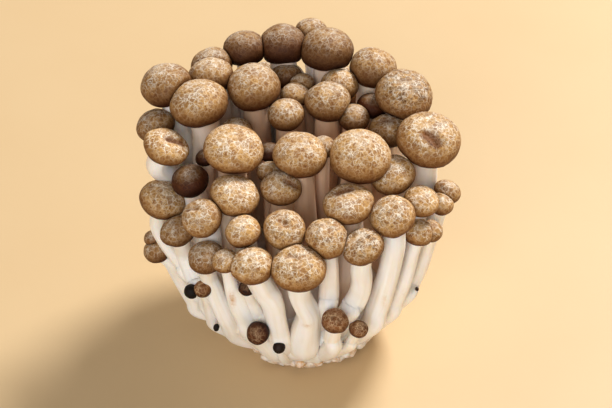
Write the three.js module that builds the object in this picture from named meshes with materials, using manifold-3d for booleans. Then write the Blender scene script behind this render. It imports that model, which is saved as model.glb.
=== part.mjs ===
// A cluster of beech mushrooms, standing on its cut foot. Millimetres, +Z up, front towards -Y.
//
// One white body holds the foot and every stem, and each brown cap sits on the end of its own stem
// with a hair's gap to it. Caps that press on each other are cut flat along the plane between them.

import * as THREE from "three";
import { mergeVertices } from "three/addons/utils/BufferGeometryUtils.js";
import Module from "manifold-3d";

const wasm = await Module();
wasm.setup();

// Driving dimensions
const FOOT_RADIUS = 21;
const BUNDLE_RADIUS = 46.3;
const BUNDLE_RISE = 17;
const FOOT_SHOULDER = 25;
const FOOT_TOP = 33;
const FOOT_SHY = 2;
const FOOT_TAPER = 1 / 12;
const FOOT_TOP_SHARE = 0.6;
const FOOT_DOME = 2;
const FOOT_LUMPS = { round: 5, depth: 0.02, twist: 0.25 };
const GAP = 0.3;
const CAP_RISE = 0.8;
const CAP_DROP = 0.78;
const LIP_ANGLE = 42;
const GILL_SHARE = 0.66;
const GILL_DEPTH = 0.28;
const EDGE_LEAN = 17;
const LEAN_POWER = 1.5;
const ROOT_OUTER = 4;
const ROOT_REAR = 14;
const ROOT_MIDDLE = 18;
const ROOT_INNER = 30;
const INNER_SHARE = 0.55;
const MIDDLE_SHARE = 0.8;
const LEVELS = [15, 28, 40, 52, 64, 76];
const LEVEL_CLEAR = { root: 4, neck: 3 };
const NECK_LENGTH = 1.6;
const STRAY_POWER = 3;
const SPREAD_SHARE = 0.5;
const CAP_CLEAR = 1.5;
const SPREAD_PASSES = 24;
const STEM_LEAST = 1.5;
const STEM_SHARE = 0.3;
const STEM_MOST = 0.56;
const STEM_SWELL = 1.25;
const SWELL_REACH = 1.3;
const STEM_SEAT = 0.36;
const STEM_PUSH = 0.7;
const FLOOR_CLEAR = 0.4;
const CAP_OVAL = 0.05;
const CENTRE_SHIFT = new THREE.Vector3(1.5, -0.9, 0);

// Fineness of the faces. A cap wider than WIDE or MIDDLING has 4 or 3 rings over its crown, others 2.
const WIDE = 17.1;
const MIDDLING = 13.1;
const SIDES_FOR_RINGS = { 4: 12, 3: 10, 2: 8 };
const SMALL = 12.2;
const STEM_SIDES = 5;
const STOUT_STEM_SIDES = 6;
const OUTER_SHARE = 0.78;
const OUTER_STEM_RINGS = 3;
const INNER_STEM_RINGS = 2;
const RINGS_TO_KNOTS = 0.6;
const FOOT_SIDES = 18;
const FOOT_LEVELS = [2, 7, 15, FOOT_SHOULDER];

// Colours
const STEM_WHITE = 0xefe6d6;
const CAP_BROWN = 0xa9804f;
const BUD_BROWN = 0x5a3a20;

// The viewpoint from which the caps were located: each one is given by where it is seen, in pixels
// of a 612 by 408 view, and by its depth y, and stands where that line of sight meets the depth.
const VIEW_CENTRE = { u: 306, v: 204 };
const VIEW_FOCAL = 1651;
const VIEW_DISTANCE = 553;
const VIEW_TARGET = new THREE.Vector3(1, 0, 54);
const VIEW_ELEVATION = THREE.MathUtils.degToRad(40);
const SIGHT_NEAR = 0.8;
const SIGHT_FAR = 1.2;
const SIGHT_STEP = 0.25;

// Every cap: where its middle is seen, its depth, and its width across. Caps with one name are grown
// together. tall makes it taller or flatter, dent is how far the crown is pushed in, and lean overrides
// how many degrees it leans to the right and to the front. via is where its stem is seen on the
// outside of the bundle, from the top down, each time with the stem's width.
const CAPS = [
  { name: "cap_back_1", u: 212, v: 65, y: 32, across: 14.2 },
  { name: "cap_back_1", u: 211, v: 76, y: 26, across: 15.4 },
  { name: "cap_back_2", u: 245, v: 49, y: 38, across: 15 },
  { name: "cap_back_3", u: 283, v: 45, y: 40, across: 17.2 },
  { name: "cap_back_3", u: 311, v: 32, y: 47, across: 11.8 },
  { name: "cap_back_4", u: 327, v: 50, y: 37, across: 18.7 },
  { name: "cap_back_5", u: 373, v: 68.5, y: 32, across: 16.3, tall: 1.05 },
  { name: "cap_back_6", u: 404, v: 95, y: 18, across: 19.2, tall: 0.97, dent: 0.5, lean: [10, 12] },
  { name: "cap_left_1", u: 166, v: 85.5, y: 18, across: 17, tall: 1.05 },
  { name: "cap_left_2", u: 198.5, v: 103.5, y: 10, across: 19.2, tall: 0.95 },
  { name: "cap_left_3", u: 156, v: 126, y: 10, across: 13.2 },
  { name: "cap_left_4", u: 166, v: 147, y: -4, across: 15, tall: 0.75, dent: 0.6, lean: [20, 4] },
  {
    name: "cap_left_5", u: 162.5, v: 200, y: -10, across: 15.2, tall: 0.86, lean: [18, 6],
    via: [[158, 224, 5.6], [164, 239, 5.2], [172, 252, 4.6], [182, 265, 4.4], [191, 278, 4.4]],
  },
  { name: "cap_left_6", u: 190, v: 181, y: -10, across: 12.2 },
  {
    name: "cap_left_7", u: 178, v: 231, y: -20, across: 12, tall: 0.8,
    via: [[184, 250, 6.2], [190, 264, 6.6], [197, 279, 7], [206, 297, 6.8]],
  },
  {
    name: "cap_left_8", u: 157.5, v: 250, y: -6, across: 9.8,
    via: [[170, 263, 4.4], [176, 273, 4.6], [184, 286, 4.8], [192, 300, 4.6], [200, 312, 4.6]],
  },
  { name: "cap_left_8", u: 153, v: 238, y: -4, across: 6.2 },
  { name: "cap_left_9", u: 205, v: 158, y: 0, across: 6.5 },
  { name: "cap_left_10", u: 202, v: 218, y: -27, across: 13.3, tall: 0.96, dent: 0.6, lean: [-16, 20] },
  { name: "cap_middle_1", u: 253.5, v: 87.5, y: 20, across: 18.2, tall: 1.05 },
  { name: "cap_middle_2", u: 286, v: 76, y: 34, across: 10.9 },
  { name: "cap_middle_3", u: 295, v: 95, y: 23, across: 10 },
  { name: "cap_middle_3", u: 302, v: 84, y: 29, across: 8.8 },
  { name: "cap_middle_4", u: 286, v: 115, y: 12, across: 12.6 },
  { name: "cap_middle_5", u: 236, v: 132, y: 8, across: 11.2 },
  { name: "cap_middle_6", u: 340, v: 85, y: 27, across: 13.1 },
  { name: "cap_middle_7", u: 328, v: 102, y: 17, across: 15.9 },
  { name: "cap_middle_8", u: 354, v: 118, y: 14, across: 10.9 },
  { name: "cap_middle_8", u: 372, v: 106, y: 20, across: 10.4 },
  { name: "cap_middle_9", u: 388, v: 131, y: 10, across: 13.2 },
  { name: "cap_middle_10", u: 233.5, v: 149.5, y: -8, across: 19.6, tall: 0.78, lean: [4, 6] },
  { name: "cap_middle_11", u: 300, v: 155, y: -9, across: 17.8, tall: 0.9 },
  { name: "cap_middle_11", u: 323, v: 147, y: -4, across: 8.4 },
  { name: "cap_middle_12", u: 360, v: 157, y: -10, across: 19.8, tall: 1.05 },
  { name: "cap_middle_13", u: 269, v: 152, y: 0, across: 7.4 },
  { name: "cap_middle_14", u: 281, v: 188, y: -15, across: 13.6, tall: 0.9 },
  { name: "cap_middle_14", u: 269, v: 172, y: -8, across: 8 },
  { name: "cap_middle_15", u: 234.5, v: 195.5, y: -20, across: 15.9, tall: 0.83, lean: [14, 8] },
  { name: "cap_right_1", u: 429, v: 140, y: 0, across: 21, tall: 0.92, dent: 0.9, lean: [8, 8] },
  { name: "cap_right_2", u: 393, v: 175, y: -9, across: 15, tall: 0.86, lean: [-10, 8] },
  { name: "cap_right_3", u: 421, v: 201.5, y: -18, across: 11.9, tall: 0.9 },
  { name: "cap_right_4", u: 447, v: 192, y: -4, across: 9.2 },
  { name: "cap_right_4", u: 441, v: 204, y: -9, across: 8.4 },
  {
    name: "cap_right_5", u: 392.5, v: 216.5, y: -28, across: 14.8, tall: 0.92, lean: [-10, 10],
    via: [[394, 243, 6.8], [391.5, 258, 7], [388, 274, 7], [383, 291, 7.2], [377, 308, 7.2], [370, 325, 7]],
  },
  {
    name: "cap_right_6", u: 418, v: 232, y: -23, across: 10.2,
    via: [[412, 250, 5.8], [408.5, 265, 5.6], [403, 283, 5.4], [396, 301, 5], [389, 316, 4.8]],
  },
  {
    name: "cap_right_6", u: 431, v: 231, y: -21, across: 8,
    via: [[427, 247, 4], [422, 265, 4], [414, 284, 4], [405, 300, 4]],
  },
  { name: "cap_right_7", u: 348.5, v: 204.5, y: -24, across: 16.6, tall: 0.7, lean: [-6, 3] },
  { name: "cap_front_1", u: 243, v: 231.5, y: -31, across: 11.4 },
  { name: "cap_front_2", u: 285, v: 230, y: -31, across: 13.6, dent: 1, lean: [0, 21] },
  {
    name: "cap_front_3", u: 327, v: 238.5, y: -35, across: 13.9, dent: 0.5,
    via: [[329, 263, 5.6], [329, 280, 6.2], [328.5, 296, 6.6], [326, 310, 6]],
  },
  {
    name: "cap_front_4", u: 362.5, v: 247, y: -37, across: 13.5, tall: 0.8, dent: 0.3, lean: [-14, 8],
    via: [[361, 267, 6.6], [362, 279, 6.6], [360, 291, 6.8], [354, 303, 7.2], [346, 315, 7]],
  },
  {
    name: "cap_front_5", u: 206.5, v: 257.5, y: -33, across: 11.8,
    via: [[209, 276, 5.6], [214.5, 290, 5.8], [221, 305, 6], [228, 320, 6.4], [237, 335, 6.8]],
  },
  {
    name: "cap_front_6", u: 225, v: 261, y: -38, across: 8.4,
    via: [[229, 277, 4], [233, 289, 5.2], [238, 302, 6.2], [245, 316, 6.8], [253, 332, 7.4]],
  },
  {
    name: "cap_front_6", u: 252, v: 266, y: -41, across: 13.9, tall: 0.9, lean: [-10, 6],
    via: [[264, 289, 8], [272, 301, 7.8], [275.5, 315, 7.4], [279, 330, 7], [283, 342, 6.6]],
  },
  {
    name: "cap_front_7", u: 298.5, v: 268.5, y: -43, across: 17.6, tall: 0.83, dent: 0.5, lean: [-4, 4],
    via: [
      [299, 292, 7.4], [303, 302, 7.6], [308, 312, 8], [307, 322, 9], [305, 333, 10], [305, 346, 9.6],
    ],
  },
];

// Small buds low on the front. They sit on the outside of the bundle, out by this many millimetres.
const BUDS = [
  {
    name: "bud_1", u: 203, v: 289, out: 0.4, across: 5.8, tall: 1.25, lean: [-12, 10],
    via: [[208, 303, 3.8], [211.5, 314, 4], [217, 326, 4.2]],
  },
  { name: "bud_2", u: 192, v: 292.5, out: 0.8, across: 4.6, lean: [-60, 10] },
  { name: "bud_3", u: 258, v: 333, out: 1.4, across: 7.7, lean: [-18, 48] },
  { name: "bud_4", u: 279, v: 347.5, out: 1.2, across: 4.1, lean: [0, 50] },
  {
    name: "bud_5", u: 335, v: 321, out: 3.2, across: 8.8, lean: [4, 8],
    via: [[332, 337, 5.2], [332.5, 347, 5.8]],
  },
  {
    name: "bud_6", u: 358.5, v: 329, out: 1.6, across: 6.2, lean: [10, 16],
    via: [[352, 340, 3.6], [349, 346, 4]],
  },
  {
    name: "bud_7", u: 247, v: 288, out: -3, across: 5.4, lean: [0, 20],
    via: [[252, 299, 4.4], [258, 311, 4.8], [266, 325, 5.2]],
  },
];

// The back is a ring of clumps of three: each cap's way round, up, out and across from the middle.
// jitter is how far each may stray from that.
const CLUMP_ROWS = [
  { count: 4, height: 69, first: 42, step: 32 },
  { count: 3, height: 52, first: 54, step: 36 },
];
const CLUMP_REACH = 47.5;
const CLUMP_JITTER = { out: 1.2, up: 2, across: 1.2 };
const CLUMP_CAPS = [
  { round: -5, up: -1.5, out: 0.4, across: 13 },
  { round: 4.8, up: -2, out: 0.6, across: 12.4 },
  { round: 0.3, up: 4.2, out: -0.4, across: 14, crown: true },
];

// A fixed random number from 0 to 1.
function draw(index, salt) {
  const wave = Math.sin((index + 1) * 12.9898 + salt * 78.233) * 43758.5453;
  return wave - Math.floor(wave);
}

function bundleRadius(z) {
  return FOOT_RADIUS + (BUNDLE_RADIUS - FOOT_RADIUS) * (1 - Math.exp(-Math.max(z, 0) / BUNDLE_RISE));
}

// The line of sight through a pixel: where it starts and which way it goes.
function sight(u, v) {
  const forward = new THREE.Vector3(0, Math.cos(VIEW_ELEVATION), -Math.sin(VIEW_ELEVATION));
  const up = new THREE.Vector3(0, Math.sin(VIEW_ELEVATION), Math.cos(VIEW_ELEVATION));
  const eye = VIEW_TARGET.clone().addScaledVector(forward, -VIEW_DISTANCE);
  const along = forward.clone();
  along.x += (u - VIEW_CENTRE.u) / VIEW_FOCAL;
  along.addScaledVector(up, (VIEW_CENTRE.v - v) / VIEW_FOCAL);
  return { eye, along };
}

function atDepth(u, v, y) {
  const { eye, along } = sight(u, v);
  return eye.addScaledVector(along, (y - eye.y) / along.y);
}

// How much longer a level step into the bundle is than one square to its outside.
function flare(z) {
  const slope = ((BUNDLE_RADIUS - FOOT_RADIUS) / BUNDLE_RISE) * Math.exp(-Math.max(z, 0) / BUNDLE_RISE);
  return Math.hypot(1, slope);
}

// Where the line of sight first meets the outside of the bundle, moved out by a distance, or where
// it passes closest to it.
function onBundle(u, v, out) {
  const { eye, along } = sight(u, v);
  const pointAt = (distance) => eye.clone().addScaledVector(along, distance);
  const outsideBy = (distance) => {
    const point = pointAt(distance);
    return Math.hypot(point.x, point.y) - bundleRadius(point.z) - out * flare(point.z);
  };
  let closest = VIEW_DISTANCE * SIGHT_NEAR;
  for (let far = closest; far < VIEW_DISTANCE * SIGHT_FAR; far += SIGHT_STEP) {
    if (outsideBy(far) < outsideBy(closest)) closest = far;
    if (outsideBy(far) <= 0) break;
  }
  return pointAt(closest);
}

function solidOf(geometry) {
  const bare = geometry.clone();
  bare.deleteAttribute("normal");
  bare.deleteAttribute("uv");
  const merged = mergeVertices(bare, 1e-4);
  const index = merged.index.array;
  const triangles = [];
  for (let k = 0; k < index.length; k += 3) {
    const [a, b, c] = [index[k], index[k + 1], index[k + 2]];
    if (a !== b && b !== c && c !== a) triangles.push(a, b, c);
  }
  const mesh = new wasm.Mesh({
    numProp: 3,
    vertProperties: new Float32Array(merged.attributes.position.array),
    triVerts: new Uint32Array(triangles),
  });
  return new wasm.Manifold(mesh);
}

function geometryOf(solid) {
  const mesh = solid.getMesh();
  const geometry = new THREE.BufferGeometry();
  geometry.setAttribute("position", new THREE.BufferAttribute(mesh.vertProperties, 3));
  geometry.setIndex(new THREE.BufferAttribute(mesh.triVerts, 1));
  geometry.computeVertexNormals();
  return geometry;
}

function ringsOf(cap) {
  if (cap.across > WIDE) return 4;
  return cap.across > MIDDLING && !cap.rear ? 3 : 2;
}

function sidesOf(cap) {
  return SIDES_FOR_RINGS[ringsOf(cap)];
}

// How far the corners of a many-sided ring stand out when its mean radius is the round one's.
function cornerReach(sides) {
  return 2 / (1 + Math.cos(Math.PI / sides));
}

// Half of a cap's section: over the crown, round the rim, under the lip and up into the gills, with
// every face moved out by grow.
function capSection(cap, rings, sides, grow) {
  const radius = cap.across / 2;
  const rim = (radius + grow) * cornerReach(sides);
  const lip = THREE.MathUtils.degToRad(LIP_ANGLE);
  const points = [new THREE.Vector2(0, CAP_RISE * cap.tall * rim - (cap.dent ?? 0))];
  for (let ring = 1; ring <= rings; ring += 1) {
    const turn = (ring / rings) * (Math.PI / 2);
    points.push(new THREE.Vector2(rim * Math.sin(turn), CAP_RISE * cap.tall * rim * Math.cos(turn)));
  }
  points.push(new THREE.Vector2(Math.cos(lip) * rim, -Math.sin(lip) * CAP_DROP * cap.tall * radius - grow));
  points.push(new THREE.Vector2(GILL_SHARE * radius - grow, -GILL_DEPTH * radius - grow));
  points.push(new THREE.Vector2(0, -GILL_DEPTH * radius - grow));
  return points.reverse();
}

// A cap, turned about its own upright middle line, then leaned and placed.
function capGeometry(cap, grow) {
  const rings = ringsOf(cap);
  const sides = sidesOf(cap);
  const geometry = new THREE.LatheGeometry(capSection(cap, rings, sides, grow), sides);
  geometry.rotateX(Math.PI / 2);
  geometry.scale(1 + cap.oval, 1 - cap.oval, 1);
  geometry.rotateZ(cap.turn);
  const lean = new THREE.Quaternion().setFromUnitVectors(new THREE.Vector3(0, 0, 1), cap.axis);
  geometry.applyQuaternion(lean);
  geometry.translate(cap.at.x, cap.at.y, cap.at.z);
  return geometry;
}

// A cap leans outwards, more so towards the edge of the bundle, unless its own lean is given.
function axisOf(at, lean) {
  const reach = Math.hypot(at.x, at.y);
  const degrees = EDGE_LEAN * Math.pow(reach / BUNDLE_RADIUS, LEAN_POWER);
  const [right, front] = lean ?? [(degrees * at.x) / reach, (-degrees * at.y) / reach];
  const slope = (angle) => Math.tan(THREE.MathUtils.degToRad(angle));
  return new THREE.Vector3(slope(right), -slope(front), 1).normalize();
}

function placed(cap, index, at) {
  return {
    ...cap,
    at,
    tall: cap.tall ?? 1,
    axis: axisOf(at, cap.lean),
    oval: CAP_OVAL * (draw(index, 1) - 0.5),
    turn: Math.PI * draw(index, 2),
    via: seenStem(cap),
  };
}

// Where a stem is seen, from the bottom up: its middle and its radius at each place.
function seenStem(cap) {
  const places = (cap.via ?? []).map(([u, v, across]) => {
    return { point: onBundle(u, v, (cap.out ?? 0) - across / 2), radius: across / 2 };
  });
  return places.sort((a, b) => a.point.z - b.point.z);
}

// The smaller cap of a pair shares the stem of the larger one, if none was seen, and the top cap of a
// clump rests on the two below it.
function hasStem(cap) {
  if (cap.rear) return !cap.crown;
  const wider = caps.some((other) => other.name === cap.name && other.across > cap.across);
  return cap.via.length > 0 || !wider;
}

// A stem just under its cap: small caps have stout stems and large ones slender stems.
function stemRadius(cap) {
  const size = cap.across / 2;
  return Math.min(STEM_LEAST + STEM_SHARE * size, STEM_MOST * size);
}

function rearCaps() {
  const found = [];
  let clump = 0;
  for (const row of CLUMP_ROWS) {
    for (let k = 0; k < row.count; k += 1) {
      clump += 1;
      for (const cap of CLUMP_CAPS) {
        const index = 100 + found.length;
        const flip = clump % 2 ? 1 : -1;
        const angle = THREE.MathUtils.degToRad(row.first + row.step * k) - (flip * cap.round) / CLUMP_REACH;
        const reach = CLUMP_REACH + cap.out + CLUMP_JITTER.out * (draw(index, 3) - 0.5);
        const z = row.height + cap.up + CLUMP_JITTER.up * (draw(index, 4) - 0.5);
        const at = new THREE.Vector3(reach * Math.cos(angle), reach * Math.sin(angle), z);
        const across = cap.across + CLUMP_JITTER.across * (draw(index, 5) - 0.5);
        found.push(placed({ name: `rear_${clump}`, across, rear: true, crown: cap.crown }, index, at));
      }
    }
  }
  return found;
}

// A stem's middle line as it would run by itself: out along the bundle's swell, then up to its cap.
// Where the stem was seen, it runs through those points and is held there.
function stemOf(cap) {
  const radius = stemRadius(cap);
  const top = cap.at.clone().addScaledVector(cap.axis, -GILL_DEPTH * (cap.across / 2) - STEM_SEAT);
  const neck = top.clone().addScaledVector(cap.axis, -NECK_LENGTH * radius);
  const inside = (z) => bundleRadius(z) - radius * STEM_SWELL * flare(z);
  const reach = Math.hypot(neck.x, neck.y);
  const share = Math.min(reach / inside(neck.z), 1);
  const beyond = Math.max(reach - inside(neck.z), 0);
  const seen = cap.via.map((place) => place.point);
  const root = rootHeight(cap, share);
  const points = [];
  const clear = (level) => level > root + LEVEL_CLEAR.root && level < neck.z - LEVEL_CLEAR.neck;
  for (const z of [root, ...LEVELS.filter(clear)]) {
    const out = inside(z) * share + beyond * Math.pow(z / neck.z, STRAY_POWER);
    const point = new THREE.Vector3((neck.x / reach) * out, (neck.y / reach) * out, z);
    const held = seen.length > 0;
    if (held) Object.assign(point, seenAt([...seen, neck], z, point));
    points.push({ point, held, limit: Math.hypot(point.x, point.y) });
  }
  return { cap, radius, neck, top, points };
}

// How high a stem leaves the foot: low at the outside of the bundle, on the dome inside it.
function rootHeight(cap, share) {
  if (cap.rear) return ROOT_REAR;
  if (share < INNER_SHARE) return ROOT_INNER;
  return share < MIDDLE_SHARE ? ROOT_MIDDLE : ROOT_OUTER;
}

// Where a seen stem is at a height: straight between the points seen, and below them as it was.
function seenAt(seen, z, fallback) {
  const above = seen.findIndex((point) => point.z >= z);
  if (above > 0) {
    const [low, high] = [seen[above - 1], seen[above]];
    const middle = low.clone().lerp(high, (z - low.z) / (high.z - low.z));
    return { x: middle.x, y: middle.y };
  }
  const aside = Math.atan2(seen[0].y, seen[0].x);
  const out = Math.hypot(fallback.x, fallback.y);
  return { x: out * Math.cos(aside), y: out * Math.sin(aside) };
}

// Moves the stems aside, level by level, until they are clear of each other and of other caps.
function spread(stems) {
  for (let pass = 0; pass < SPREAD_PASSES; pass += 1) {
    for (const level of LEVELS.filter((z) => z > ROOT_MIDDLE)) {
      const here = stems.flatMap((stem) => {
        const found = stem.points.find((entry) => entry.point.z === level);
        return found ? [{ ...found, entry: found, stem }] : [];
      });
      here.forEach((one, k) => {
        for (const two of here.slice(k + 1)) partFrom(one, two);
        for (const other of caps) if (other !== one.stem.cap) clearOf(one, other);
      });
    }
  }
}

function partFrom(one, two) {
  const need = (one.stem.radius + two.stem.radius) * STEM_SWELL + GAP;
  const [dx, dy] = [one.point.x - two.point.x, one.point.y - two.point.y];
  const distance = Math.hypot(dx, dy);
  if (distance >= need || (one.held && two.held)) return;
  const push = ((need - distance) / distance) * SPREAD_SHARE;
  if (!one.held) shift(one, dx * push, dy * push);
  if (!two.held) shift(two, -dx * push, -dy * push);
}

function clearOf(one, other) {
  const size = other.across / 2;
  const height = Math.abs(one.point.z - other.at.z) / (size + CAP_CLEAR);
  if (height >= 1 || one.held) return;
  const [dx, dy] = [one.point.x - other.at.x, one.point.y - other.at.y];
  const distance = Math.hypot(dx, dy);
  const need = size * Math.sqrt(1 - height * height) + one.stem.radius;
  if (distance < need) shift(one, (dx / distance) * (need - distance), (dy / distance) * (need - distance));
}

// Moves a point sideways, but not further out than the bundle is there.
function shift(one, dx, dy) {
  one.point.x += STEM_PUSH * dx;
  one.point.y += STEM_PUSH * dy;
  const limit = Math.max(one.entry.limit, bundleRadius(one.point.z) - one.stem.radius);
  const out = Math.hypot(one.point.x, one.point.y);
  if (out <= limit) return;
  one.point.x *= limit / out;
  one.point.y *= limit / out;
}

// A stem's route and its radius along it, at the same knots. A seen stem goes through where it was
// seen, and any other is stoutest low down.
function courseOf(stem) {
  const { cap, radius } = stem;
  const root = stem.points[0].point;
  let points = [...stem.points.map((entry) => entry.point), stem.neck, stem.top];
  let radii = points.map((point, k) => radius * swellAt(k / (points.length - 1)));
  if (cap.via.length) {
    points = [root, ...cap.via.map((place) => place.point), stem.top];
    radii = [cap.via[0].radius, ...cap.via.map((place) => place.radius), cap.via.at(-1).radius];
  }
  return { route: new THREE.CatmullRomCurve3(points, false, "catmullrom", 0.5), radii };
}

function radiusAt(radii, t) {
  const place = t * (radii.length - 1);
  const k = Math.min(Math.floor(place), radii.length - 2);
  return THREE.MathUtils.lerp(radii[k], radii[k + 1], place - k);
}

// How much stouter a stem is part of the way up, t, than just under its cap.
function swellAt(t) {
  return 1 + (STEM_SWELL - 1) * Math.sin((Math.PI / 2) * Math.min(SWELL_REACH * (1 - t), 1));
}

// A stem: a straight turned shape, bent along its route.
function stemGeometry(cap, { route, radii }) {
  const outer = Math.hypot(cap.at.x, cap.at.y) > BUNDLE_RADIUS * OUTER_SHARE;
  const sides = outer && !cap.rear && cap.across > SMALL ? STOUT_STEM_SIDES : STEM_SIDES;
  const freeRings = outer ? OUTER_STEM_RINGS : INNER_STEM_RINGS;
  const rings = cap.via.length ? Math.ceil(RINGS_TO_KNOTS * (radii.length - 1)) : freeRings;
  const section = [new THREE.Vector2(0, 0)];
  for (let ring = 0; ring <= rings; ring += 1) {
    const t = ring / rings;
    section.push(new THREE.Vector2(radiusAt(radii, t), t));
  }
  section.push(new THREE.Vector2(0, 1));
  const geometry = new THREE.LatheGeometry(section, sides);
  const aside = new THREE.Vector3(-cap.at.y, cap.at.x, 0).normalize();
  const position = geometry.attributes.position;
  const point = new THREE.Vector3();
  for (let k = 0; k < position.count; k += 1) {
    point.fromBufferAttribute(position, k);
    const middle = route.getPoint(point.y);
    const forward = route.getTangent(point.y);
    const across = aside.clone().cross(forward).normalize();
    const side = across.clone().cross(forward).normalize();
    middle.addScaledVector(across, point.x).addScaledVector(side, point.z);
    position.setXYZ(k, middle.x, middle.y, Math.max(middle.z, FLOOR_CLEAR));
  }
  return geometry;
}

// The foot: a bowl of grown-together stem ends with a flat cut below and a low dome inside the bundle.
function footGeometry() {
  const section = [new THREE.Vector2(0, 0), new THREE.Vector2(FOOT_RADIUS - FOOT_SHY, 0)];
  for (const z of FOOT_LEVELS) {
    section.push(new THREE.Vector2(bundleRadius(z) - FOOT_SHY - z * FOOT_TAPER, z));
  }
  section.push(new THREE.Vector2(bundleRadius(FOOT_TOP) * FOOT_TOP_SHARE, FOOT_TOP));
  section.push(new THREE.Vector2(0, FOOT_TOP + FOOT_DOME));
  const geometry = new THREE.LatheGeometry(section, FOOT_SIDES);
  geometry.rotateX(Math.PI / 2);
  const position = geometry.attributes.position;
  for (let k = 0; k < position.count; k += 1) {
    const angle = Math.atan2(position.getY(k), position.getX(k));
    const z = position.getZ(k);
    const lump = 1 + FOOT_LUMPS.depth * Math.sin(FOOT_LUMPS.round * angle + FOOT_LUMPS.twist * z);
    position.setXYZ(k, position.getX(k) * lump, position.getY(k) * lump, z);
  }
  return geometry;
}

// How far a cap reaches from its middle in a direction: an oval above the rim and one below it.
function reachTowards(cap, direction) {
  const radius = (cap.across / 2) * cornerReach(sidesOf(cap));
  const rise = direction.dot(cap.axis);
  const flat = Math.sqrt(Math.max(1 - rise * rise, 0));
  return radius * Math.hypot(flat, rise * cap.tall * (rise > 0 ? CAP_RISE : CAP_DROP));
}

const caps = [
  ...CAPS.map((cap, index) => placed(cap, index, atDepth(cap.u, cap.v, cap.y))),
  ...BUDS.map((bud, index) => placed(bud, 60 + index, onBundle(bud.u, bud.v, bud.out))),
  ...rearCaps(),
];

// Cuts a cap flat where it would press into a cap of another node, leaving half the gap.
function pressed(cap) {
  let solid = solidOf(capGeometry(cap, 0));
  for (const other of caps) {
    if (other.name === cap.name) continue;
    const between = other.at.clone().sub(cap.at);
    const distance = between.length();
    const direction = between.normalize();
    const own = reachTowards(cap, direction);
    const theirs = reachTowards(other, direction.clone().negate());
    if (distance > own + theirs + GAP) continue;
    const limit = (own + distance - theirs) / 2 - GAP / 2;
    const towards = direction.clone().negate();
    const offset = towards.dot(cap.at) - limit;
    solid = solid.trimByPlane([towards.x, towards.y, towards.z], offset);
  }
  return solid;
}

function largest(solid) {
  const bodies = solid.decompose();
  return bodies.reduce((best, body) => (body.volume() > best.volume() ? body : best));
}

function capMaterial(colour) {
  return new THREE.MeshStandardMaterial({ color: colour, roughness: 0.62, metalness: 0 });
}

const model = new THREE.Group();

function addNode(name, solid, material) {
  const mesh = new THREE.Mesh(geometryOf(solid), material);
  mesh.name = name;
  model.add(mesh);
}

function stemCluster() {
  let solid = solidOf(footGeometry());
  const stems = caps.filter(hasStem).map(stemOf);
  spread(stems);
  for (const stem of stems) solid = solid.add(solidOf(stemGeometry(stem.cap, courseOf(stem))));
  for (const cap of caps) solid = solid.subtract(solidOf(capGeometry(cap, GAP)));
  return largest(solid);
}

const stemWhite = new THREE.MeshStandardMaterial({ color: STEM_WHITE, roughness: 0.5, metalness: 0 });
addNode("stem_cluster", stemCluster(), stemWhite);

for (const name of new Set(caps.map((cap) => cap.name))) {
  const members = caps.filter((cap) => cap.name === name);
  const solids = members.map(pressed);
  const fused = solids.reduce((whole, solid) => whole.add(solid));
  addNode(name, fused, capMaterial(name.startsWith("bud") ? BUD_BROWN : CAP_BROWN));
}

model.position.copy(CENTRE_SHIFT);

export default model;
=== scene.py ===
"""A cluster of beech mushrooms on a pale floor: caps with gills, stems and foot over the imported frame."""
import math

import bpy
import numpy as np
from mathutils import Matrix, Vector


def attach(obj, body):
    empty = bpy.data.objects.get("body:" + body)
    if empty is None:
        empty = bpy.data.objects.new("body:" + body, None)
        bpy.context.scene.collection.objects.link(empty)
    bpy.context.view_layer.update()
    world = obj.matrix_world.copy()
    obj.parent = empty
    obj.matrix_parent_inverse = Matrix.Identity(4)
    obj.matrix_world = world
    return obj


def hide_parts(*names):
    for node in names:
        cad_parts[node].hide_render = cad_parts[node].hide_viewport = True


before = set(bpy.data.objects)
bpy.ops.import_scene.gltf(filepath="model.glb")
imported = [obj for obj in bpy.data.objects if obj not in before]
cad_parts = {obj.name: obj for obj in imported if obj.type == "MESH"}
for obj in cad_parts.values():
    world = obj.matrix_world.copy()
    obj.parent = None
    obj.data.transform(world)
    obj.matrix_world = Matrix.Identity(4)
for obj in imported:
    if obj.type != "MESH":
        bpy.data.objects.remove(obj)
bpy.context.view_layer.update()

# Driving dimensions of the cluster, as in the part: millimetres, degrees, and shares of a radius
FOOT_RADIUS = 21
BUNDLE_RADIUS = 46.3
BUNDLE_RISE = 17
FOOT_SHOULDER = 25
FOOT_TOP = 33
FOOT_SHY = 2
FOOT_TAPER = 1 / 12
FOOT_TOP_SHARE = 0.6
GAP = 0.3
CAP_RISE = 0.8
CAP_DROP = 0.78
LIP_ANGLE = math.radians(42)
GILL_DEPTH = 0.28
EDGE_LEAN = 17
LEAN_POWER = 1.5
STEM_LEAST = 1.5
STEM_SHARE = 0.3
STEM_MOST = 0.56
STEM_SWELL = 1.25
STEM_SEAT = 0.36
ROOT_OUTER = 4
ROOT_REAR = 14
ROOT_MIDDLE = 18
ROOT_INNER = 30
MIDDLE_SHARE = 0.8
INNER_SHARE = 0.55
LEVELS = [15, 28, 40, 52, 64, 76]
ROOT_CLEAR = 4
NECK_CLEAR = 3
NECK_LENGTH = 1.6
STRAY_POWER = 3
SPREAD_PASSES = 24
SPREAD_SHARE = 0.7
CAP_CLEAR = 1.5
CENTRE_SHIFT = np.array([1.5, -0.9, 0.0])
MM = 0.001

# The photograph's viewpoint, and its frame in pixels
VIEW_U = 306
VIEW_V = 204
VIEW_WIDTH = 612
VIEW_FOCAL = 1651
VIEW_DISTANCE = 553
VIEW_TARGET = np.array([1.0, 0.0, 54.0])
VIEW_ELEVATION = math.radians(40)

# Lines of sight are followed over these shares of the viewing distance, in steps of so many millimetres
SIGHT_NEAR = 0.8
SIGHT_FAR = 1.2
SIGHT_STEP = 0.25

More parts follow.
